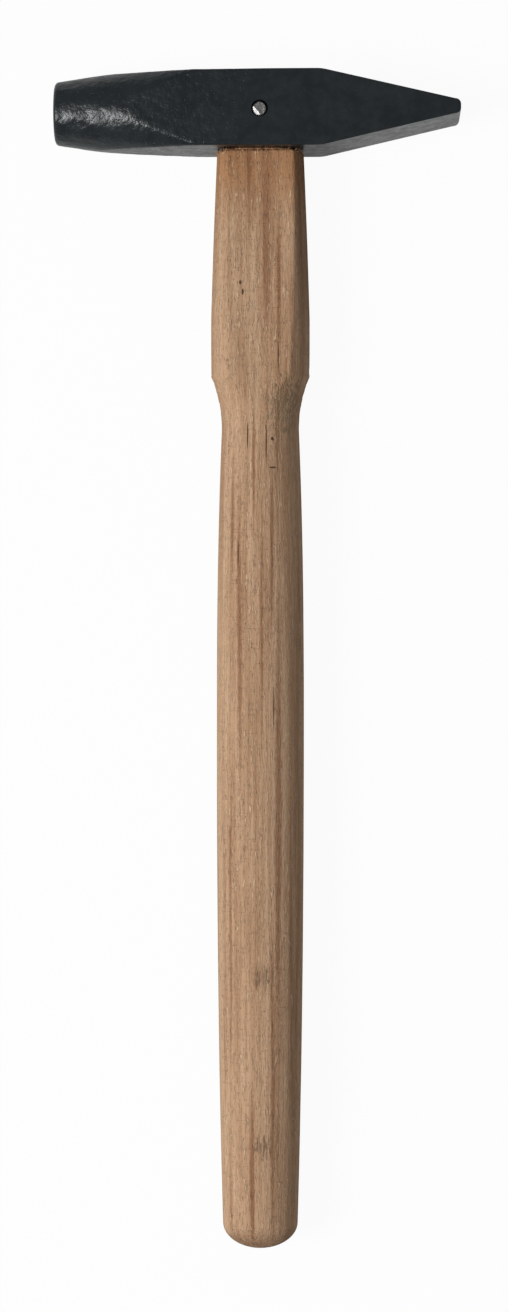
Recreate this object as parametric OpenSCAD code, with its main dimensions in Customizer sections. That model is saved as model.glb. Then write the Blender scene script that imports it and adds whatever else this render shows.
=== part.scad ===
// Tack hammer: a small forged cross-peen head on a turned wooden handle.
// It lies on one cheek. The head runs along X with its poll towards -X, the handle runs
// towards -Y, and the lower cheek is the plane z = 0, with the eye's centre over the origin.

/* [Head] */
// Thickness of the head between its two flat cheeks
head_t = 18.4; // [15:0.1:24]
// Height of the head, from its underside to its top
head_h = 16; // [13:0.5:22]
// From the eye's centre to the striking face
poll_reach = 43.4; // [34:0.5:60]
// From the eye's centre to the tip of the peen
peen_reach = 42; // [32:0.5:60]
// From the eye's centre to the line where the peen starts to taper
peen_start = 13; // [10.5:0.5:18]
// Thickness of the peen at its tip
peen_tip_h = 3.2; // [1.5:0.1:6]
// Radius of the two long edges of the peen's tip
peen_tip_round = 1.1; // [0.3:0.1:2]
// Diameter of the round poll at its striking face
face_d = 13.6; // [9:0.1:18]
// Growth of the poll's radius for each millimetre away from the face
poll_slope = 0.16; // [0.08:0.01:0.25]
// Radius of the rim around the striking face
face_rim = 0.9; // [0.3:0.1:1.5]

/* [Eye and wedge] */
// Length of the eye at its lower mouth, along the head
eye_l = 15.5; // [12:0.1:18]
// Width of the eye at its lower mouth, across the head
eye_w = 9; // [6:0.1:10.5]
// How far each side of the eye opens towards its top, so that the wedge can spread the tenon
eye_flare = 0.4; // [0.1:0.05:0.8]
// Gap between the tenon and the eye on each side
tenon_clearance = 0.05; // [0.02:0.01:0.2]
// How far the end of the tenon stands out of the top of the eye
tenon_proud = 0.4; // [0:0.1:1]
// Thickness of the wedge at its outer end
wedge_top_t = 1.8; // [1:0.1:2.6]
// Thickness of the wedge at its driven edge
wedge_tip_t = 0.5; // [0.3:0.1:0.9]
// Length of the wedge, from its outer end to its driven edge
wedge_l = 11.5; // [8:0.5:14]
// Gap between each end of the wedge and the eye
wedge_inset = 1.2; // [0.5:0.1:2]
// Gap between the wedge and each side of its kerf
wedge_clearance = 0.03; // [0.01:0.01:0.1]
// How far the saw kerf runs below the driven edge of the wedge
kerf_run = 1.5; // [0.5:0.1:2.5]

/* [Cross pin] */
// Diameter of the steel pin through the cheeks and the tenon
pin_d = 3.2; // [2:0.1:4]
// Gap between the pin and its holes on each side
pin_clearance = 0.05; // [0.02:0.01:0.15]
// How far the pin sits below the middle of the eye, towards the handle
pin_drop = 0.35; // [0:0.05:1.5]
// How far each end of the pin lies inside its cheek
pin_recess = 0.2; // [0.1:0.05:0.6]
// Width of the bevel around each end of the pin
pin_bevel = 0.3; // [0.1:0.05:0.6]
// Extra width of the mouth of the pin hole at each cheek
mouth_extra = 0.35; // [0.1:0.05:1]
// Depth of that mouth
mouth_depth = 0.8; // [0.3:0.1:2]

/* [Handle] */
// From the head's underside to the end of the handle
handle_reach = 230.8; // [180:1:320]
// Gap between the head's underside and the shoulder of the tenon
shoulder_gap = 0.4; // [0.1:0.1:1]
// Width of the neck where it meets the head
neck_w = 18.3; // [16.5:0.1:24]
// Thickness of the neck across its flats where it meets the head
neck_t = 11.4; // [10.2:0.1:15]
// Length over which the neck widens towards the shoulder
neck_l = 35; // [20:1:50]
// Width of the handle at its shoulder
shoulder_w = 20.8; // [17:0.1:26]
// Thickness across the flats at the shoulder
shoulder_t = 16.7; // [13:0.1:19]
// Radius of the hollow between the shoulder and the waist
cove_r = 30; // [15:1:50]
// From the head's underside to the waist
waist_drop = 59; // [50:1:75]
// Width of the waist, the thinnest place
waist_w = 16.3; // [13:0.1:17.5]
// From the waist to the thickest place of the grip
belly_drop = 57; // [35:1:80]
// Width of the grip at its thickest place
belly_w = 18.4; // [15:0.1:24]
// Width of the grip where its end starts to round over
butt_w = 15.8; // [12:0.1:20]
// Length of the rounded end
butt_dome = 5.4; // [2:0.1:9]

/* [Hidden] */
$fn = 96;

under_y = -head_h / 2;              // underside of the head
tenon_top = head_h / 2 + tenon_proud;
shoulder_y = under_y - shoulder_gap;
waist_y = under_y - waist_drop;
belly_y = waist_y - belly_drop;
end_y = under_y - handle_reach;
dome_y = end_y + butt_dome;
pin_hole_d = pin_d + 2 * pin_clearance;
wedge_w = eye_l - 2 * wedge_inset;
eye_side = (eye_l - eye_w) / 2;     // from the eye's centre to the centre of each round end
eye_rise = eye_flare / head_h;      // opening of each side for each millimetre of height
past = 1;                           // how far a cutting shape runs past what it cuts

// The poll's radius rises from the face until the cone is well clear of the body's corners.
clear_r = norm([head_h / 2, head_t / 2]) + past;
cone_end = (clear_r - face_d / 2) / poll_slope - poll_reach;
rim_steps = 6;

// The grip swells fast below the waist and falls off slowly towards the end.
swell_power = 2.3;
fall_power = 2.45;
grip_steps = 12;
cove_steps = 8;
dome_steps = 10;
cove_height = (shoulder_w - waist_w) / 2;
cove_run = sqrt(pow(cove_r, 2) - pow(cove_r - cove_height, 2));

// Carries what is drawn flat into the Y-Z plane and draws it out along X.
module along_x(length) {
    rotate([90, 0, 90]) linear_extrude(length, center = true) children();
}

// Turns an outline of [radius, height] points about an axis that points along +Y.
module turned_on_y(outline) {
    rotate([-90, 0, 0]) rotate_extrude() polygon(outline);
}

// A slot with round ends, from y0 to y1, that opens by eye_rise on every side.
// trim is how much smaller it is than the eye on every side.
module eye_shape(y0, y1, trim) {
    r0 = eye_w / 2 - trim + (y0 - under_y) * eye_rise;
    r1 = eye_w / 2 - trim + (y1 - under_y) * eye_rise;
    for (side = [-1, 1]) translate([side * eye_side, y0, 0])
        rotate([-90, 0, 0]) cylinder(h = y1 - y0, r1 = r0, r2 = r1);
    along_x(2 * eye_side) polygon([[y0, -r0], [y1, -r1], [y1, r1], [y0, r0]]);
}

// The hole for the cross pin, through whatever is there.
module pin_hole() {
    translate([0, -pin_drop, 0]) cylinder(h = head_t + 2 * past, d = pin_hole_d, center = true);
}

// Side view of the head: parallel over the poll and the body, tapered over the peen.
module head_outline() {
    tip = peen_tip_h / 2 - peen_tip_round;
    rounding = [for (side = [-1, 1], a = [45 * side - 45 : 15 : 45 * side + 45])
        [peen_reach - peen_tip_round * (1 - cos(a)), side * tip + peen_tip_round * sin(a)]];
    polygon(concat([[-poll_reach, -head_h / 2], [peen_start, -head_h / 2]], rounding,
        [[peen_start, head_h / 2], [-poll_reach, head_h / 2]]));
}

// The round envelope that the poll is turned to. Past cone_end it clears the whole body.
module poll_envelope() {
    rim = [for (i = [0 : rim_steps]) let (a = 90 * i / rim_steps)
        [face_d / 2 - face_rim * (1 - sin(a)), -poll_reach + face_rim * (1 - cos(a))]];
    far = max(cone_end, peen_reach) + past;
    rotate([0, 90, 0]) rotate_extrude() polygon(concat([[0, -poll_reach]], rim,
        [[clear_r, cone_end], [clear_r, far], [0, far]]));
}

module head() {
    color([0.12, 0.14, 0.15]) translate([0, 0, head_t / 2]) difference() {
        intersection() {
            linear_extrude(head_t, center = true) head_outline();
            poll_envelope();
        }
        eye_shape(under_y - past, head_h / 2 + past, 0);
        pin_hole();
        for (side = [-1, 1]) translate([0, -pin_drop, side * (head_t / 2 - mouth_depth / 2 + past / 2)])
            cylinder(h = mouth_depth + past, d = pin_hole_d + mouth_extra, center = true);
    }
}

// Half widths along the handle, as [half width, y], from the shoulder down to the end.
function cove() = [for (i = [0 : cove_steps]) let (dy = cove_run * (1 - i / cove_steps))
    [waist_w / 2 + cove_r - sqrt(pow(cove_r, 2) - pow(dy, 2)), waist_y + dy]];
function swell() = [for (i = [1 : grip_steps]) let (u = i / grip_steps)
    [waist_w / 2 + (belly_w - waist_w) / 2 * (1 - pow(1 - u, swell_power)), waist_y - u * belly_drop]];
function fall() = [for (i = [1 : grip_steps]) let (u = i / grip_steps)
    [belly_w / 2 - (belly_w - butt_w) / 2 * pow(u, fall_power), belly_y + u * (dome_y - belly_y)]];
function dome() = [for (i = [1 : dome_steps]) let (a = 90 * i / dome_steps)
    [butt_w / 2 * cos(a), dome_y - butt_dome * sin(a)]];

// The handle as it leaves the lathe.
module blank() {
    turned_on_y(concat(
        [[0, shoulder_y], [neck_w / 2, shoulder_y], [shoulder_w / 2, shoulder_y - neck_l]],
        cove(), swell(), fall(), dome()));
}

// What the two milled flats take off: they spread from the neck to the shoulder, then run
// parallel until they leave the wood on the way down to the waist.
module flats() {
    top = shoulder_y + past;
    spread_y = waist_y + cove_run;
    slope = (shoulder_t - neck_t) / 2 / (shoulder_y - spread_y);
    for (side = [0, 1]) mirror([0, 0, side]) along_x(shoulder_w + 2 * past) polygon([
        [top, neck_t / 2 - slope * past], [spread_y, shoulder_t / 2], [waist_y, shoulder_t / 2],
        [waist_y, shoulder_w], [top, shoulder_w]]);
}

// The wedge, and with grow its kerf: from its outer end to its driven edge, seen along X.
module wedge_section(grow, extra) {
    tip_y = tenon_top - wedge_l;
    rise = (wedge_top_t - wedge_tip_t) / 2 / wedge_l;
    outer = wedge_top_t / 2 + grow + rise * extra;
    polygon([[tip_y - (extra > 0 ? kerf_run : 0), -wedge_tip_t / 2 - grow],
        [tip_y, -wedge_tip_t / 2 - grow], [tenon_top + extra, -outer], [tenon_top + extra, outer],
        [tip_y, wedge_tip_t / 2 + grow], [tip_y - (extra > 0 ? kerf_run : 0), wedge_tip_t / 2 + grow]]);
}

module handle() {
    color([0.66, 0.52, 0.38]) translate([0, 0, head_t / 2]) difference() {
        union() {
            difference() {
                blank();
                flats();
            }
            eye_shape(shoulder_y - past, tenon_top, tenon_clearance);
        }
        along_x(eye_l + 4 * past) wedge_section(wedge_clearance, past);
        pin_hole();
    }
}

module wedge() {
    color([0.80, 0.70, 0.55]) translate([0, 0, head_t / 2]) difference() {
        along_x(wedge_w) wedge_section(0, 0);
        pin_hole();
    }
}

module cross_pin() {
    half = head_t / 2 - pin_recess;
    color([0.72, 0.72, 0.70]) translate([0, -pin_drop, head_t / 2]) rotate_extrude() polygon([
        [0, -half], [pin_d / 2 - pin_bevel, -half], [pin_d / 2, -half + pin_bevel],
        [pin_d / 2, half - pin_bevel], [pin_d / 2 - pin_bevel, half], [0, half]]);
}

head();
handle();
wedge();
cross_pin();
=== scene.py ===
"""Tack hammer: a forged, black-enamelled cross-peen head, pinned to a turned wooden handle."""
import math

import bpy
import numpy as np
from mathutils import Matrix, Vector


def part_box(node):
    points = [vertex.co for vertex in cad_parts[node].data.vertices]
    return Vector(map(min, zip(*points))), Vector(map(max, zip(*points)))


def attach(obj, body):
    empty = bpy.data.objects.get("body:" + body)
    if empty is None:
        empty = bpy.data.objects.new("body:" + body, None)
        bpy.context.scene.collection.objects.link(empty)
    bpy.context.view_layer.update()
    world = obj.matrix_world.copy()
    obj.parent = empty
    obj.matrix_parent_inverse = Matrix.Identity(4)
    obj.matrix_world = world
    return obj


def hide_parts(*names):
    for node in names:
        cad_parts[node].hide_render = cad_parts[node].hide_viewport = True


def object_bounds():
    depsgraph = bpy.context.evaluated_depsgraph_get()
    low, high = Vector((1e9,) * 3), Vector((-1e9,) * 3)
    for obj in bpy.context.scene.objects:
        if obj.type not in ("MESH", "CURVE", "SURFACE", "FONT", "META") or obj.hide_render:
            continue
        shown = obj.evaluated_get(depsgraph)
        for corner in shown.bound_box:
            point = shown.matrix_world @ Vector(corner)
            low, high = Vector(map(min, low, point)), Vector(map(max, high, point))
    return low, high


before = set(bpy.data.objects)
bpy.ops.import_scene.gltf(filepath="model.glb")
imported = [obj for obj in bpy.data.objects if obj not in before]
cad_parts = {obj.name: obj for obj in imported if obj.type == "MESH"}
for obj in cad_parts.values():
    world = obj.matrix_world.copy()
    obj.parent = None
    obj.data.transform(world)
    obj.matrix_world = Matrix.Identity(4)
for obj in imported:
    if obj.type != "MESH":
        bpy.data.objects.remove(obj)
cad_low, cad_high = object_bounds()
mm = 0.001


# ---- The forging ---------------------------------------------------------------------------
# The head is one steel forging: a round poll turned to a cone, a flat-cheeked body with the
# eye through it, and a peen that tapers to a blunt edge. It is dipped in black enamel, which
# lies over a hammered skin on the poll and over smoother steel towards the peen.

def lumps(points, seed):
    """Smooth random heights between -1 and 1 at each point, a new one about every unit."""
    size = 32
    table = np.random.default_rng(seed).uniform(-1, 1, (size, size, size))
    cell = np.floor(points).astype(int)
    part = points - cell
    part = part * part * (3 - 2 * part)
    total = np.zeros(points.shape[:-1])
    for corner in np.ndindex(2, 2, 2):
        share = np.prod(np.where(corner, part, 1 - part), axis=-1)
        total += share * table[tuple(((cell + corner) % size)[..., k] for k in range(3))]
    return total


def soft_min(a, b, blend):
    """The smaller of two distances, with the edge between them eased over about 3 * blend."""
    return -blend * np.logaddexp(-a / blend, -b / blend)


def ease(value, start, end):
    """0 before start, 1 past end, smooth between; start may be the larger."""
    share = np.clip((value - start) / (end - start), 0, 1)
    return share * share * (3 - 2 * share)


def skin(name, rings):
    """A closed mesh through rings of points, given in millimetres, with a fan over each end."""
    count, around, _ = rings.shape
    first = np.arange(count - 1)[:, None] * around
    here = np.arange(around)
    after = (here + 1) % around
    quads = np.stack([first + here, first + after, first + around + after, first + around + here], -1)
    faces = quads.reshape(-1, 4).tolist()
    start, end = count * around, count * around + 1
    last = (count - 1) * around
    faces += [(start, int(b), int(a)) for a, b in zip(here, after)]
    faces += [(end, int(last + a), int(last + b)) for a, b in zip(here, after)]
    points = np.concatenate([rings.reshape(-1, 3), [rings[0].mean(0), rings[-1].mean(0)]])
    mesh = bpy.data.meshes.new(name)
    mesh.from_pydata((points * mm).tolist(), [], faces)
    piece = bpy.data.objects.new(name, mesh)
    bpy.context.scene.collection.objects.link(piece)
    return piece


def cut(piece, *cutters):
    """Takes the cutters' shapes out of the piece, then removes them."""
    for cutter in cutters:
        tool = piece.modifiers.new("cut", "BOOLEAN")
        tool.operation, tool.solver, tool.object = "DIFFERENCE", "EXACT", cutter
    shape = bpy.data.meshes.new_from_object(piece.evaluated_get(bpy.context.evaluated_depsgraph_get()))
    piece.modifiers.clear()
    old, piece.data = piece.data, shape
    bpy.data.meshes.remove(old)
    shape.name = piece.name
    for cutter in cutters:
        bpy.data.objects.remove(cutter)


def smooth(piece, crease=35):
    """Smooth shading, with edges sharper than crease degrees left crisp."""
    piece.data.shade_smooth()
    piece.data.set_sharp_from_angle(angle=math.radians(crease))


head_low, head_high = (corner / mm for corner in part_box("head"))
pin_low, pin_high = (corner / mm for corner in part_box("cross_pin"))
half_t = (head_high.z - head_low.z) / 2
half_h = (head_high.y - head_low.y) / 2
axis_z = (head_high.z + head_low.z) / 2
pin_y = (pin_high.y + pin_low.y) / 2

face_r, face_rim, face_crown = 6.75, 0.95, 0.15  # the striking face, its rounded rim, its bulge
cone_slope, cone_swell, swell_start = 0.155, 0.0016, -36.0  # how the poll grows behind the face
peen_start, peen_bend = 13.0, 0.35               # where the peen's slopes start, and how softly
peen_tip, tip_round = 1.55, 1.15                 # half the height of its edge, and that edge's radius
poll_edge, peen_edge, side_edge = 0.55, 0.22, 0.5  # radii of the long edges and of the peen's ends
arch_blend = 0.10                                # how softly the cone runs out into the cheeks
skin_depth, skin_clear = 0.042, 0.002            # the hammered skin, and how far it stays inside
ring_gap, side_points, tip_rings = 0.25, 45, 8   # the mesh's spacing along, across and at the tip


def head_rings():
    """The head's skin as sections along X: rounded rectangles, each held inside the poll's cone."""
    turn = np.radians(np.linspace(0, 90, tip_rings + 1))
    rim_x = head_low.x + face_crown + face_rim * (1 - np.cos(turn))
    rim_r = face_r - face_rim * (1 - np.sin(turn))
    face_share = np.linspace(0.08, 0.96, 14)
    face_x = head_low.x + face_crown * face_share ** 2
    shaft_x = np.arange(rim_x[-1] + ring_gap, head_high.x - tip_round, ring_gap)
    tip_turn = turn[::-1][1:]
    tip_x = head_high.x - tip_round * (1 - np.cos(tip_turn))
    x = np.concatenate([face_x, rim_x, shaft_x, tip_x, np.full(tip_rings, head_high.x)])
    cone = face_r + cone_slope * (x - rim_x[-1]) + cone_swell * np.clip(x - swell_start, 0, None) ** 2
    round_r = np.concatenate([face_share * (face_r - face_rim), rim_r, cone[len(face_x) + len(rim_x):]])

    # Half the height and half the thickness of each section; the last ones round over the tip
    # and then close its end.
    tip, end = slice(-2 * tip_rings, -tip_rings), slice(-tip_rings, None)
    end_share = np.linspace(0.9, 0.1, tip_rings)
    taper = (half_h - peen_tip) / (head_high.x - tip_round - peen_start)
    high = half_h - taper * peen_bend * np.logaddexp(0, (x - peen_start) / peen_bend)
    tip_flat = peen_tip - tip_round
    high[tip] = tip_flat + tip_round * np.sin(tip_turn)
    high[end] = tip_flat * end_share
    thick = np.full(len(x), half_t)
    thick[tip] = half_t - side_edge * (1 - np.sin(tip_turn))
    thick[end] = half_t - side_edge - 5 * side_edge * (1 - end_share)
    corner = np.minimum(peen_edge + (poll_edge - peen_edge) * ease(x, 4, -8), 0.45 * high)

    # Once round each section: top, lower cheek, bottom and upper cheek, a rounded corner after each.
    across = np.linspace(-1, 1, side_points)
    bend = turn[1:-1]
    level = np.ones((len(x), side_points))
    y_parts, z_parts = [], []
    for side in range(4):
        y_flat, z_flat = (high - corner)[:, None], (thick - corner)[:, None]
        sign = 1 if side < 2 else -1
        if side % 2 == 0:
            y_parts.append(sign * level * high[:, None])
            z_parts.append(-sign * across * z_flat)
        else:
            y_parts.append(-sign * across * y_flat)
            z_parts.append(-sign * level * thick[:, None])
        angle = bend + side * math.pi / 2
        y_parts.append((1 if side in (0, 3) else -1) * y_flat + corner[:, None] * np.cos(angle))
        z_parts.append((-1 if side in (0, 1) else 1) * z_flat - corner[:, None] * np.sin(angle))
    y, z = np.concatenate(y_parts, 1), np.concatenate(z_parts, 1)
    reach = np.hypot(y, z)
    wanted = soft_min(reach, round_r[:, None], arch_blend)

    # Hammered skin: shallow lumps, deep on the poll and the cheek beside it, faint elsewhere.
    x_here = np.broadcast_to(x[:, None], y.shape)
    where = np.stack([x_here, y, z], -1)
    rough = 0.10 + 0.90 * ease(x, 6, -14)[:, None]
    depth = sum(share * (1 + lumps(where / width, seed))
                for share, width, seed in ((0.9, 2.3, 11), (0.55, 1.05, 12), (0.22, 0.55, 13)))
    wanted = wanted - skin_depth * rough * depth - skin_clear
    kept_tip = ease(np.abs(x - head_high.x), 0.0, 2.0)[:, None]
    scale = 1 + (wanted / reach - 1) * kept_tip
    return np.stack([x_here, y * scale, z * scale + axis_z], -1)


bore_r, bore_off = 1.69, (0.10, 0.05)  # the pin leans to one side of its hole


def pin_bore():
    """The hole for the cross pin, a little belled at each cheek by the drill and the paint."""
    height = np.array([-1, -0.12, 0, 0.18, 0.5, 2, half_t])
    radius = bore_r + np.array([0.66, 0.12, 0.06, 0.02, 0.01, 0, 0])
    height = np.concatenate([height, 2 * half_t - height[-2::-1]])
    radius = np.concatenate([radius, radius[-2::-1]])
    turn = np.linspace(0, 2 * math.pi, 96, endpoint=False)
    rings = np.stack([np.cos(turn) * radius[:, None] + bore_off[0],
                      np.sin(turn) * radius[:, None] + pin_y + bore_off[1],
                      np.broadcast_to(height[:, None], (len(height), len(turn)))], -1)
    return skin("bore", rings)


eye_l, eye_w, eye_flare = 15.5, 9.0, 0.4  # the eye at the handle's side, and its widening


def eye_ring(turn, y, trim):
    """The eye's outline at a height y, round-ended, trim smaller on every side."""
    radius = eye_w / 2 - trim + eye_flare * (y + half_h) / (2 * half_h)
    x = np.cos(turn) * radius + np.sign(np.cos(turn)) * (eye_l - eye_w) / 2
    return np.stack([x, np.full(len(turn), y), np.sin(turn) * radius + axis_z], -1)


def eye_bore():
    """The eye, cut a little past the head at both ends."""
    turn = np.linspace(0, 2 * math.pi, 108, endpoint=False) + 0.013
    return skin("eye", np.array([eye_ring(-turn, y, 0) for y in (-half_h - 1, half_h + 1)]))


head = skin("hammer_head", head_rings())
cut(head, pin_bore(), eye_bore())
smooth(head, 30)
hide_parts("head")
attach(head, "root")


class Wire:
    """A socket's output. Sums and products of wires add Math nodes to the same material."""

    def __init__(self, tree, socket):
        self.tree, self.socket = tree, socket

    def node(self, kind, inputs=(), out=0, stops=None, **settings):
        """Any node: its settings first, then its inputs by number or name, numbers or wires."""
        made = self.tree.nodes.new("ShaderNode" + kind)
        for name, value in settings.items():
            setattr(made, name, value)
        if stops:
            ramp = made.color_ramp
            while len(ramp.elements) < len(stops):
                ramp.elements.new(0.5)
            for element, (place, colour) in zip(ramp.elements, stops):
                element.position = place
                element.color = (*colour, 1)
        for key, value in (inputs.items() if isinstance(inputs, dict) else enumerate(inputs)):
            if isinstance(value, Wire):
                self.tree.links.new(value.socket, made.inputs[key])
            else:
                made.inputs[key].default_value = value
        return Wire(self.tree, made.outputs[out])

    def math(self, operation, *values):
        """A Math node on values or numbers."""
        return self.node("Math", values, operation=operation)

    def __add__(self, other):
        return self.math("ADD", self, other)

    def __sub__(self, other):
        return self.math("SUBTRACT", self, other)

    def __rsub__(self, other):
        return self.math("SUBTRACT", other, self)

    def __mul__(self, other):
        return self.math("MULTIPLY", self, other)

    __radd__, __rmul__ = __add__, __mul__

    def band(self, low, high, to_low=0.0, to_high=1.0):
        """This value carried smoothly from low..high to to_low..to_high, and held there."""
        return self.node("MapRange", {"Value": self, "From Min": low, "From Max": high, "To Min": to_low,
                                      "To Max": to_high}, interpolation_type="SMOOTHSTEP")

    def noise(self, scale, detail=2.0, roughness=0.5, distortion=0.0, out=0):
        """Noise over this place, about scale lumps to a millimetre."""
        return self.node("TexNoise", {"Vector": self, "Scale": scale, "Detail": detail,
                                      "Roughness": roughness, "Distortion": distortion}, out=out)

    def stretched(self, x, y, z):
        """This place with each axis scaled: a small number draws a pattern out along it."""
        return self.node("VectorMath", (self, (x, y, z)), operation="MULTIPLY")

    def along(self, axis):
        """One coordinate of this place."""
        return self.node("SeparateXYZ", (self,), out="XYZ".index(axis))

    def spot(self, centre, size, ragged=0.0):
        """1 inside an ellipsoid with these half sizes and 0 outside it, its edge soft."""
        off = self.node("VectorMath", (self, centre), operation="SUBTRACT")
        off = off.stretched(*(1 / half for half in size)).length()
        if ragged:
            off = off + self.stretched(1, 0.3, 1).noise(2.2, 3, 0.6).band(0, 1, -ragged, ragged)
        return off.band(1.0, 0.35)

    def length(self):
        """How far this place is from the origin."""
        return self.node("VectorMath", (self,), out=1, operation="LENGTH")

    def mixed(self, share, other, blend="MIX"):
        """This colour mixed towards another by a share."""
        return self.node("Mix", {0: share, 6: self, 7: other}, out=2, data_type="RGBA", blend_type=blend)


def finish_on(piece, name):
    """Puts a new material on the piece. Gives its shader node, and the surface's place in mm."""
    material = bpy.data.materials.new(name)
    material.use_nodes = True
    piece.data.materials.clear()
    piece.data.materials.append(material)
    tree = material.node_tree
    here = Wire(tree, None).node("TexCoord", out=3)
    place = here.node("VectorMath", {0: here, "Scale": 1 / mm}, operation="SCALE")
    return tree.nodes["Principled BSDF"], place


def connect(shader, **inputs):
    """Sets the shader's sockets, named with _ for a space, to wires, numbers or colours."""
    for name, value in inputs.items():
        socket = shader.inputs[name.replace("_", " ")]
        if isinstance(value, Wire):
            value.tree.links.new(value.socket, socket)
        else:
            socket.default_value = value


# Enamel: dipped gloss black with a trace of blue-green, orange-peeled over the hammered skin of
# the poll, calmer towards the peen, with a few pits and specks of dust in it.
shader, place = finish_on(head, "black_enamel")
hammered = place.along("X").band(6, -18)
peel = place.noise(0.55, 3, 0.58)
fine_peel = place.noise(3.2, 2, 0.55)
pits = place.noise(1.7, 1, 0.5).band(0.30, 0.22)
dust = place.noise(7.0, 1, 0.5).band(0.76, 0.80)
cloud = place.noise(0.16, 3, 0.55).band(0.35, 0.68)
colour = place.node("ValToRGB", (cloud,), stops=[
    (0.0, (0.0078, 0.0126, 0.0145)), (1.0, (0.0125, 0.0172, 0.0195))])
colour = colour.mixed(pits * 0.7, (0.006, 0.007, 0.008, 1))
colour = colour.mixed(dust * 0.5, (0.20, 0.21, 0.21, 1))
height = (peel * 1.5 + fine_peel * 0.08 - pits * 0.35) * (hammered * 0.96 + 0.04)
skin_bump = place.node("Bump", {"Strength": 1.0, "Distance": 0.00016, "Height": height})
gloss = peel.band(0.35, 0.65, 0.0, 0.10) + cloud * 0.04 + 0.23
connect(shader, Base_Color=colour, Roughness=gloss, Normal=skin_bump, Specular_IOR_Level=0.5, IOR=1.5)


# ---- The handle ----------------------------------------------------------------------------
# One piece of turned hardwood: a tenon that fills the eye, a neck with two milled flats, a
# shoulder, a waist, a long swelling grip and a rounded end. The wood is bare, its pores open.

handle_low, handle_high = (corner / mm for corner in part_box("handle"))
tenon_top, end_y, shoulder_r = handle_high.y, handle_low.y, handle_high.x
shoulder_y = -half_h - 0.4                       # the gap that is left under the head
neck_y, waist_y, belly_y, dome_y = -43.4, -67.0, -124.0, end_y + 5.4
neck_r, neck_bow = 9.15, 0.08                    # at the head, and how far its sides bow out
waist_r, belly_r, butt_r, cove_r = 8.15, half_t, 7.9, 30.0
swell_power, fall_power = 2.3, 2.45              # how the grip fills out to its belly and thins again
cove_run = math.sqrt(cove_r ** 2 - (cove_r - (shoulder_r - waist_r)) ** 2)
flat_at_head, flat_at_cove = 5.7, 8.35           # how far the neck's flats lie from the axis
tenon_gap = 0.06
worn_edge, crisp_edge = 0.30, 0.035              # the flats' edges on the left and on the right


def turned_radius(y):
    """Half the width of the turned blank at each place along it."""
    down_neck = np.clip((shoulder_y - y) / (shoulder_y - neck_y), 0, 1)
    neck = np.interp(y, [neck_y, shoulder_y], [shoulder_r, neck_r]) + neck_bow * np.sin(down_neck * math.pi)
    cove = waist_r + cove_r - np.sqrt(cove_r ** 2 - np.clip(y - waist_y, 0, cove_run) ** 2)
    to_belly = np.clip(1 - (waist_y - y) / (waist_y - belly_y), 0, 1)
    past_belly = np.clip((belly_y - y) / (belly_y - dome_y), 0, 1)
    down_dome = np.clip((dome_y - y) / (dome_y - end_y), 0, 1)
    swell = belly_r - (belly_r - waist_r) * to_belly ** swell_power
    fall = belly_r - (belly_r - butt_r) * past_belly ** fall_power
    dome = butt_r * np.sqrt(1 - down_dome ** 2)
    upper = np.where(y > waist_y, np.minimum(neck, cove), np.where(y > belly_y, swell, fall))
    return np.where(y < dome_y, dome, upper)


def handle_rings():
    """The handle's skin from the tenon's end to the butt, as outlines round its axis."""
    around = 216
    turn = np.linspace(0, 2 * math.pi, around, endpoint=False) + 0.01
    tenon = np.array([eye_ring(turn, y, tenon_gap) for y in np.linspace(tenon_top, shoulder_y - 0.02, 30)])
    dome_turn = np.radians(np.linspace(0, 86, 16))
    edge_end = shoulder_y - 2
    y = np.concatenate([np.arange(shoulder_y, edge_end, -0.1), np.arange(edge_end, dome_y, -0.4),
                        dome_y + (end_y - dome_y) * np.sin(dome_turn)])[:, None]
    radius = turned_radius(y) * np.ones(around)
    flat = np.interp(y, [waist_y + cove_run, shoulder_y], [flat_at_cove, flat_at_head])
    flat = np.where(y > waist_y, flat, 99.0)
    edge = np.where(np.cos(turn) < 0, worn_edge, crisp_edge)
    reach = soft_min(radius, flat / np.maximum(np.abs(np.sin(turn)), 1e-6), edge)
    y_here = np.broadcast_to(y, reach.shape)
    where = np.stack([np.cos(turn) * reach, y_here, np.sin(turn) * reach], -1)

    # What the tools and use leave: long faint furrows along the grain, and short open pores.
    furrow = lumps(where * (0.9, 0.035, 0.9), 21) + 0.6 * lumps(where * (2.2, 0.09, 2.2), 22)
    pores = np.clip(lumps(where * (3.1, 0.35, 3.1), 23) - 0.45, 0, 1)
    reach = reach - 0.035 * (1 + 0.6 * furrow) - 0.06 * pores

    # The lathe tool chattered across the cove, and the neck's top edge broke away unevenly.
    in_cove = ease(y, -68, -62) * ease(y, -50, -55)
    chatter = np.clip(lumps(where * (0.45, 1.5, 0.45), 24), 0, 1)
    chatter = chatter + 0.5 * lumps(where * (0.9, 2.6, 0.9), 25)
    reach = reach - 0.09 * in_cove * (0.5 + chatter)
    broken = 0.60 + 0.40 * lumps(where * (1.3, 0.0, 1.3), 26) + 0.3 * lumps(where * (3.6, 0.0, 3.6), 27)
    worn = np.clip((y - shoulder_y + broken) / np.clip(broken, 0.15, None), 0, 1)
    reach = reach - 0.75 * (1 - np.sqrt(1 - 0.96 * worn ** 2))

    body = np.stack([np.cos(turn) * reach, y_here, np.sin(turn) * reach + axis_z], -1)
    steps = np.linspace(0, 1, 6)[1:-1, None, None]
    shelf = tenon[-1:] + (body[:1] - tenon[-1:]) * steps
    shelf[..., 1] = shoulder_y
    return np.concatenate([tenon, shelf, body])


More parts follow.
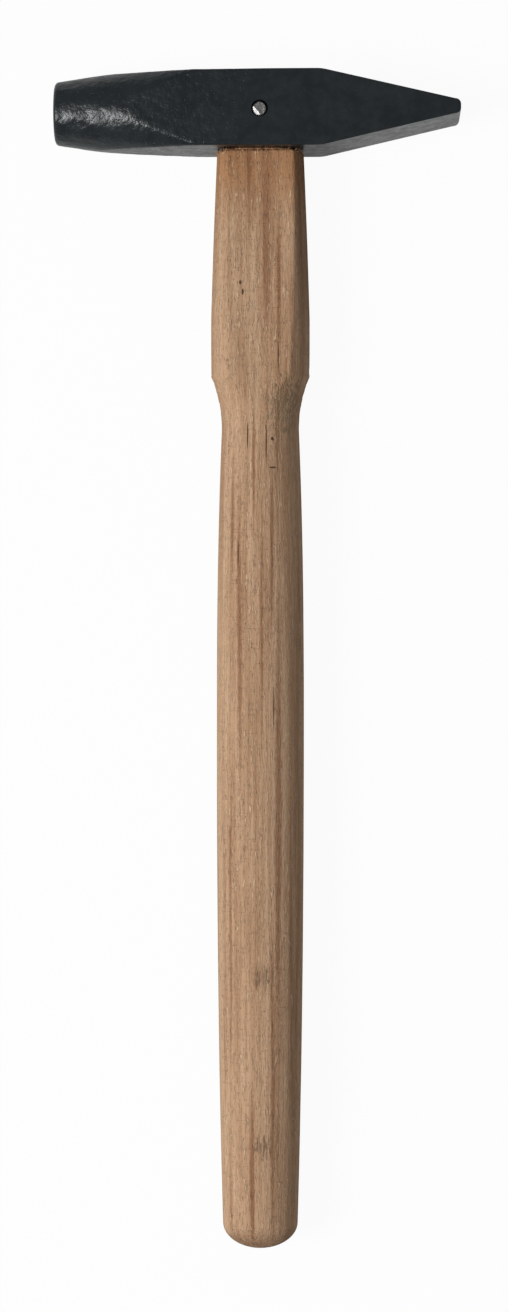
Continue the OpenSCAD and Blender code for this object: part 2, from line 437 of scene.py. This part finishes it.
def kerf_cut():
    """The saw kerf across the tenon, a hair wider than the wedge, which tapers."""
    wedge_low, wedge_high = (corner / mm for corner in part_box("wedge"))
    saw_run, past, slack = 1.5, 1.0, 0.03        # below the wedge, above the tenon, beside the wedge
    top_half, tip_half = (wedge_high.z - wedge_low.z) / 2, 0.25
    slope = (top_half - tip_half) / (wedge_high.y - wedge_low.y)
    levels = (wedge_low.y - saw_run, wedge_low.y, wedge_high.y + past)
    halves = (tip_half + slack, tip_half + slack, top_half + slope * past + slack)
    x = wedge_high.x + 2
    return skin("kerf", np.array([[(-x, y, axis_z + half), (x, y, axis_z + half), (x, y, axis_z - half),
                                   (-x, y, axis_z - half)] for y, half in zip(levels, halves)]))


handle = skin("turned_handle", handle_rings())
cut(handle, pin_bore(), kerf_cut())
smooth(handle, 40)
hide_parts("handle")
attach(handle, "root")


def sliver(points, width):
    """A thin tapering four-sided sliver through points: its corners and its faces."""
    count = len(points)
    taper = width * (1 - np.linspace(0, 1, count) ** 2 * 0.9)
    side = np.array([(1, 0, 0), (0, 0, -0.6), (-1, 0, 0), (0, 0, 0.6)])
    rings = points[:, None] + side[None] * taper[:, None, None]
    faces = [(4 * ring + k, 4 * ring + (k + 1) % 4, 4 * ring + 4 + (k + 1) % 4, 4 * ring + 4 + k)
             for ring in range(count - 1) for k in range(4)]
    last = 4 * count - 4
    faces += [(3, 2, 1, 0), (last, last + 1, last + 2, last + 3)]
    return rings.reshape(-1, 3), faces


def torn_fibres():
    """Fibres that the shoulder's edge shed when the head was driven on, curled under the head."""
    chance = np.random.default_rng(31)
    points, faces = [], []
    share = np.linspace(0, 1, 6)[:, None]
    under_head = -half_h - 0.04
    for _ in range(300):
        angle = chance.uniform(0, 2 * math.pi)
        out = np.array([math.cos(angle), 0, math.sin(angle)])
        across = np.array([-out[2], 0, out[0]])
        to_flat = (flat_at_head - 0.05) / max(abs(math.sin(angle)), 1e-6)
        reach = min(neck_r - 0.05, to_flat) - chance.uniform(0.15, 0.75)
        length = chance.uniform(0.4, 1.5) * (2.0 if chance.random() < 0.12 else 1.0)
        lean, sway = chance.uniform(0.1, 0.75), chance.uniform(-0.9, 0.9)
        run = share * length * (out * lean + across * sway * share)
        rise = share * (1.2 - share * chance.uniform(0.3, 1.1)) * length
        root = out * reach + (0, shoulder_y - chance.uniform(0.25, 1.0), axis_z)
        path = root + run + rise * (0, 1, 0)
        path[:, 1] = np.minimum(path[:, 1], under_head - 0.1 * share[:, 0])
        corners, sides = sliver(path, chance.uniform(0.04, 0.11))
        faces += [tuple(len(points) + k for k in side) for side in sides]
        points += corners.tolist()
    mesh = bpy.data.meshes.new("torn_fibres")
    mesh.from_pydata([[value * mm for value in point] for point in points], [], faces)
    piece = bpy.data.objects.new("torn_fibres", mesh)
    bpy.context.scene.collection.objects.link(piece)
    return piece


fibres = torn_fibres()
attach(fibres, "root")

# Bare wood: long soft bands, hair-fine grain, open pores and raised flecks; stained darker and
# more orange under the head, with small knots, cracks, pits and a greenish patch of scuffs where they are.
# Painted shade darkens the neck's right-hand side and, in part, that patch.
shader, place = finish_on(handle, "bare_hardwood")
front = 16.0                   # how high the marks on the upper side lie
sideways = place.stretched(1, 0.05, 1).noise(0.35, 2, 0.5, out=1)
waved = place.node("VectorMath", (place, sideways), operation="ADD")

# The grain itself: colour bands of two widths, lines, hair-fine fibres and mottling.
drawn_out = place.stretched(1, 0.022, 1)
broad = drawn_out.noise(0.20, 3, 0.5, 0.25)
bands = drawn_out.noise(0.46, 3, 0.6, 0.2)
lines = place.stretched(1, 0.025, 1).noise(1.05, 3, 0.62)
hair = place.stretched(1, 0.09, 1).noise(3.4, 3, 0.7)
mottle = place.stretched(1, 0.35, 1).noise(3.0, 3, 0.7)
tone = place.node("ValToRGB", (broad * 0.30 + bands * 0.35 + lines * 0.35,), stops=[
    (0.38, (0.320, 0.166, 0.088)), (0.45, (0.480, 0.282, 0.162)), (0.52, (0.575, 0.356, 0.214)),
    (0.60, (0.670, 0.440, 0.275))])
tone = tone.mixed(hair.band(0.48, 0.68) * 0.42, (0.300, 0.166, 0.094, 1))
tone = tone.mixed(mottle.band(0.42, 0.22) * 0.35, (0.66, 0.46, 0.31, 1))

# Darker and more orange towards the head; then raised flecks, open pores and checks across.
stained = place.along("Y").band(-27, -11) * bands.band(0.3, 0.7, 0.75, 1.0)
open_here = place.stretched(1, 0.12, 1).noise(0.22, 2, 0.5).band(0.42, 0.66)
pore = place.stretched(1, 0.16, 1).noise(2.9, 2, 0.6).band(0.63, 0.72) * (open_here * 0.85 + 0.15)
fleck = place.stretched(1, 0.10, 1).noise(3.0, 2, 0.6).band(0.56, 0.65)
check = place.stretched(0.45, 3.2, 0.45).noise(1.0, 2, 0.6).band(0.60, 0.72)
tone = tone.mixed(stained * 0.9, (0.80, 0.62, 0.46, 1), "MULTIPLY")
tone = tone.mixed(fleck * 0.50, (0.86, 0.60, 0.39, 1))
tone = tone.mixed(pore * 0.38, (0.200, 0.098, 0.050, 1))
tone = tone.mixed(check * open_here * 0.25, (0.22, 0.125, 0.075, 1))

# Red-brown streaks along the grain, each at X and Y with its half width and half length.
streaks = [(2.0, -26, 1.25, 26), (4.5, -150, 0.95, 66), (-0.9, -222, 0.7, 22), (3.2, -200, 0.6, 46),
           (-3.6, -110, 0.6, 46), (4.7, -36, 0.5, 22), (1.1, -110, 0.5, 34), (-0.6, -75, 0.5, 20),
           (3.1, -92, 0.5, 26), (-5.4, -170, 0.5, 40)]
streak = sum(waved.spot((x, y, front), (wide, long, 8), 0.30) for x, y, wide, long in streaks)
tone = tone.mixed(streak * 0.66, (0.265, 0.112, 0.055, 1))
# Painted shade: a dark band down the right-hand side of the neck, where it turns away from the lamp.
painted_side_shade = place.spot((9.4, -24, 12), (2.9, 30, 8), 0.2)
tone = tone.mixed(painted_side_shade * 0.50, (0.185, 0.092, 0.050, 1))

# Two small knots in the grip, then pits, cracks and scratches, listed in the same way.
knots = place.spot((0.4, -181, front), (3.0, 3.4, 7), 0.9)
knots = knots + place.spot((0.9, -216.5, front), (2.4, 3.0, 7), 0.9)
tone = tone.mixed(knots * lines.band(0.35, 0.6) * 0.75, (0.140, 0.084, 0.050, 1))
marks = [(-3.9, -36.3, 0.32, 0.55), (-3.4, -38.3, 0.30, 0.75), (-2.4, -68.5, 0.16, 3.6),
         (1.5, -70, 0.18, 5.2), (2.8, -69, 0.45, 0.45), (2.9, -75, 0.9, 0.22),
         (-4.4, -93, 0.13, 3.4), (3.1, -125, 0.14, 6.0), (4.0, -52, 0.12, 4.0)]
mark = sum(place.spot((x, y, front), (wide, long, 6)) for x, y, wide, long in marks)
tone = tone.mixed(mark * 0.85, (0.075, 0.036, 0.020, 1))

# The greenish patch of scuffs beside the cove, darkened partly as painted shade where the side turns down
# and away from the lamp, and darker end grain at the butt and the tenon.
scuff_and_shade = place.spot((5.6, -62.2, front), (4.4, 6.4, 7), 1.1)
tone = tone.mixed(scuff_and_shade * mottle.band(0.38, 0.58, 0.05, 0.62), (0.250, 0.200, 0.125, 1))
end_grain = place.along("Y").band(-233, -237.5) + place.along("Y").band(8.1, 8.3)
year_rings = place.stretched(0.25, 0.1, 1).noise(2.6, 3, 0.6)
tone = tone.mixed(end_grain * year_rings.band(0.3, 0.7, 0.25, 0.75), (0.27, 0.155, 0.088, 1))

raised = hair * 0.75 + lines * 0.35 + fleck * 0.75 + mottle * 0.45 + scuff_and_shade * mottle * 1.2
sunk = pore * 0.6 + mark * 1.6 + check * 0.25
grain_bump = place.node("Bump", {"Strength": 1.0, "Distance": 0.00020, "Height": raised - sunk})
connect(shader, Base_Color=tone, Roughness=hair * 0.15 + 0.66, Normal=grain_bump, Specular_IOR_Level=0.12)

# The torn fibres: the same wood, browner where the head bruised it.
shader, place = finish_on(fibres, "torn_fibre")
fuzz = place.noise(2.5, 2, 0.6)
tone = place.node("ValToRGB", (fuzz,), stops=[(0.35, (0.26, 0.115, 0.055)), (0.65, (0.62, 0.38, 0.22))])
connect(shader, Base_Color=tone, Roughness=fuzz * 0.1 + 0.75, Specular_IOR_Level=0.2)


# ---- The wedge -----------------------------------------------------------------------------
# A thin slip of split hardwood, driven into the tenon's saw kerf from the top of the eye. It is
# paler than the tenon, its fibres run down into the eye, and the mallet bruised its top.
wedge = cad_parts["wedge"]
shader, place = finish_on(wedge, "split_hardwood")
fibre = place.stretched(1, 0.08, 1).noise(3.0, 3, 0.6)
bruise = place.noise(0.8, 3, 0.6)
tone = place.node("ValToRGB", (fibre,), stops=[(0.3, (0.42, 0.28, 0.16)), (0.7, (0.62, 0.46, 0.30))])
tone = tone.mixed(bruise.band(0.45, 0.7) * 0.5, (0.25, 0.16, 0.09, 1))
split_bump = place.node("Bump", {"Strength": 0.8, "Distance": 0.0002, "Height": fibre + bruise * 0.6})
connect(shader, Base_Color=tone, Roughness=fibre * 0.1 + 0.7, Normal=split_bump, Specular_IOR_Level=0.25)


# ---- The cross pin -------------------------------------------------------------------------
# A length of bright steel wire through both cheeks. The cropper left each end in facets: one
# broad sheared plane, a steeper bright one beside it and a torn notch.
def cropped_end(x, y, radius, seed):
    """How far inside the pin's full length its end lies, at each place across it."""
    sheared = 0.05 + 0.035 * (x + y)
    bright = 0.06 - 0.34 * (x + 0.60) - 0.24 * (y + 0.35)
    notch = -0.62 + 0.75 * (y - 0.8 * x) / radius
    drop = np.maximum(np.maximum(sheared, bright), notch)
    edge_start, edge_drop = 0.86, 0.35
    edge = edge_drop * np.clip(np.hypot(x, y) / radius - edge_start, 0, 1) / (1 - edge_start)
    rough = 0.03 * (1 + lumps(np.stack([x, y, x * 0], -1) * 2.6, seed))
    return np.clip(drop, 0, 0.6) + edge + rough


def pin_rings():
    """The pin's skin: its lower end from the middle outwards, then its upper end back again."""
    clear = 0.01                                 # how far the pin stays inside its full size
    radius = (pin_high.x - pin_low.x) / 2 - clear
    turn = np.linspace(0, 2 * math.pi, 72, endpoint=False)
    share = np.concatenate([np.linspace(0.04, 0.92, 18), [0.96, 1.0]])
    x, y = np.cos(turn) * radius * share[:, None], np.sin(turn) * radius * share[:, None]
    low = np.stack([x, y, pin_low.z + cropped_end(-x, y, radius, 42)], -1)
    high = np.stack([x, y, pin_high.z - clear - cropped_end(x, y, radius, 41)], -1)
    return np.concatenate([low, high[::-1]]) + (0, pin_y, 0)


pin = skin("cropped_pin", pin_rings())
smooth(pin, 24)
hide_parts("cross_pin")
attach(pin, "root")
shader, place = finish_on(pin, "cropped_steel")
scuff = place.noise(3.0, 3, 0.6)
scored = place.stretched(1, 6, 1).noise(1.4, 2, 0.6)
tone = place.node("ValToRGB", (scuff,), stops=[(0.3, (0.24, 0.24, 0.23)), (0.7, (0.37, 0.36, 0.35))])
pin_bump = place.node("Bump", {"Strength": 0.6, "Distance": 0.00008, "Height": scored + scuff * 0.5})
connect(shader, Base_Color=tone, Roughness=scuff * 0.2 + 0.30, Metallic=1.0, Normal=pin_bump)


# ---- The bench and the light ---------------------------------------------------------------
# A plain pale bench under the hammer, which shows nearly white and keeps a faint shadow, a large
# soft lamp high on the poll's side, and a dim room. The camera looks nearly straight down.
centre = (cad_low + cad_high) / 2
bench_half, bench_gap = 3.0, 0.0002
floor_mesh = bpy.data.meshes.new("bench")
floor_corners = [(-bench_half, -bench_half, 0), (bench_half, -bench_half, 0),
                 (bench_half, bench_half, 0), (-bench_half, bench_half, 0)]
floor_mesh.from_pydata(floor_corners, [], [(0, 1, 2, 3)])
floor = bpy.data.objects.new("bench", floor_mesh)
bpy.context.scene.collection.objects.link(floor)
floor.location.z = cad_low.z - bench_gap
shader, place = finish_on(floor, "pale_bench")
connect(shader, Base_Color=(0.56, 0.56, 0.56, 1), Roughness=0.8)
shown = {"Is Camera Ray": 0.92, "Is Transmission Ray": 0.92, "Is Glossy Ray": 0.276}
white_share = sum(place.node("LightPath", out=kind) * share for kind, share in shown.items())
glow = place.node("Emission", {"Color": (1, 1, 1, 1), "Strength": 1.03})
both = place.node("MixShader", {0: white_share, 1: Wire(place.tree, shader.outputs[0]), 2: glow})
place.tree.links.new(both.socket, place.tree.nodes["Material Output"].inputs[0])

Direction = type(centre)
lamp_way, lamp_distance = Direction((-0.60, -0.12, 0.77)).normalized(), 1.2
lamp_data = bpy.data.lights.new("key", "AREA")
lamp_data.shape, lamp_data.size, lamp_data.energy = "SQUARE", 0.50, 10.6
lamp = bpy.data.objects.new("key", lamp_data)
lamp.location = centre + lamp_way * lamp_distance
lamp.rotation_euler = lamp_way.to_track_quat("Z", "Y").to_euler()
bpy.context.scene.collection.objects.link(lamp)

room = bpy.data.worlds.new("room")
bpy.context.scene.world = room
room.use_nodes = True
room_light = room.node_tree.nodes["Background"]
room_light.inputs["Color"].default_value = (0.95, 0.97, 1.0, 1)
room_light.inputs["Strength"].default_value = 0.24

camera_data = bpy.data.cameras.new("camera")
camera = bpy.data.objects.new("camera", camera_data)
bpy.context.scene.collection.objects.link(camera)
camera_data.sensor_fit, camera_data.sensor_height, camera_data.lens = "VERTICAL", 36, 96.6
look_at = centre + Direction((-0.00065, 0.0009, 0))
camera.location = look_at + Direction((0.0247, 0, 0.741))
back = (camera.location - look_at).normalized()
right = Direction((0, 1, 0)).cross(back).normalized()
camera.rotation_euler = Matrix((right, back.cross(right), back)).transposed().to_euler()
bpy.context.scene.camera = camera
bpy.context.scene.view_settings.view_transform = "Standard"
